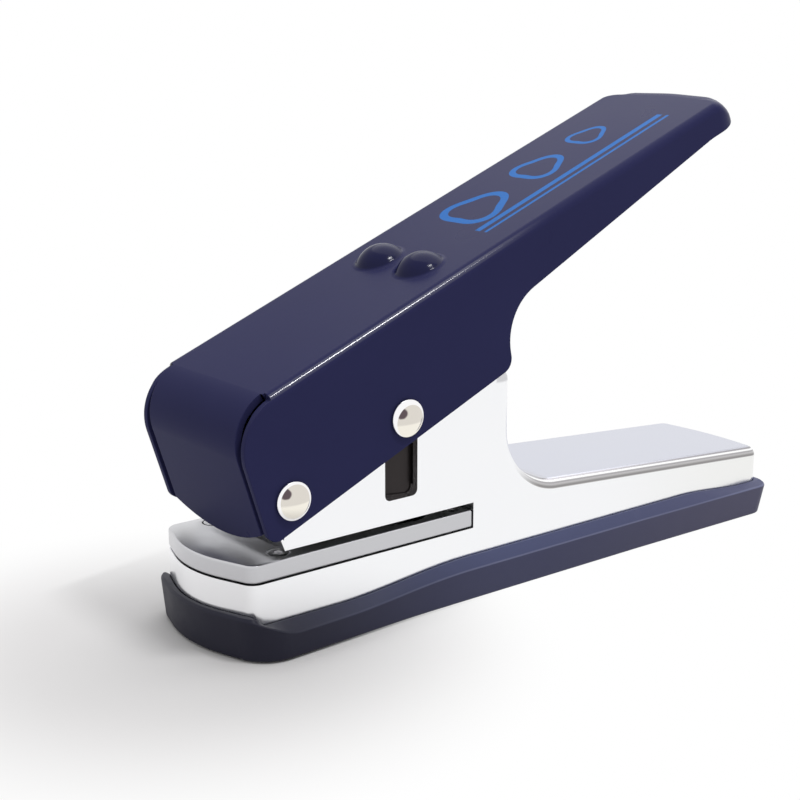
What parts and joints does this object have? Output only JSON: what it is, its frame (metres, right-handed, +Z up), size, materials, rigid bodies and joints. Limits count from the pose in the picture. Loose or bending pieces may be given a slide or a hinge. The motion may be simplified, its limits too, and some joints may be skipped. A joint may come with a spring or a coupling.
{
  "type": "guitar pick punch",
  "caption": "Hand lever punch that cuts plectrum-shaped picks from plastic cards, with a slotted throat, a sprung punch over a die and a slip-off chip tray.",
  "frame": {"origin": "on the floor in the middle plane, straight below the fulcrum axis, at the underside of the sole", "axes": "+X runs from the throat end to the tail, +Z is up, and Y runs across the punch along the fulcrum axis"},
  "size_m": [0.1545, 0.0396, 0.0999],
  "materials": {
    "casting": "polished silver casting",
    "navy_paint": "satin-gloss navy enamel on bent steel sheet",
    "chrome_rivet": "bright plated rivet",
    "tool_steel": "hardened dark tool steel",
    "steel": "ground bright steel",
    "spring_wire": "drawn spring wire",
    "zinc_black": "black zinc plating",
    "nylon": "natural nylon",
    "navy_plastic": "matte navy moulding",
    "rubber_black": "matte black rubber"
  },
  "bodies": {
    "frame": {"frame_housing": "casting", "die_plate": "steel", "die_screw_1": "steel", "die_screw_2": "steel", "die_screw_3": "steel", "die_screw_4": "steel", "shoulder_screw_1": "steel", "shoulder_screw_2": "steel", "fulcrum_bush": "steel", "front_spring": "spring_wire", "rear_spring": "spring_wire"},
    "lever": {"lever_shell": "navy_paint", "fulcrum_pin": "chrome_rivet", "fulcrum_cap": "chrome_rivet", "fulcrum_washer_1": "nylon", "fulcrum_washer_2": "nylon", "drive_pin": "chrome_rivet", "drive_cap": "chrome_rivet", "drive_washer_1": "nylon", "drive_washer_2": "nylon", "stop_pad": "rubber_black"},
    "punch": {"punch_carrier": "zinc_black", "punch_cutter": "tool_steel", "punch_screw_1": "steel", "punch_screw_2": "steel"},
    "tray": {"base_tray": "navy_plastic", "anti_slip_sole": "rubber_black"}
  },
  "joints": [
    {"name": "lever_hinge", "type": "hinge", "parent": "frame", "child": "lever", "pos_m": [0, 0, 0.031], "axis": [0, 1, 0], "range_deg": [0, 21.56], "stiffness_Nm_per_rad": 0.84, "springref_deg": -16.04},
    {"name": "punch_slide", "type": "slide", "parent": "frame", "child": "punch", "axis": [0, 0, -1], "range_m": [0, 0.01075], "deforming": ["front_spring", "rear_spring"]},
    {"name": "tray_slide", "type": "slide", "parent": "frame", "child": "tray", "axis": [0, 0, -1], "range_m": [0, 0.03]}
  ],
  "couplings": [
    {"joint": "punch_slide", "follows": "lever_hinge", "m_per_rad": 0.028471}
  ]
}
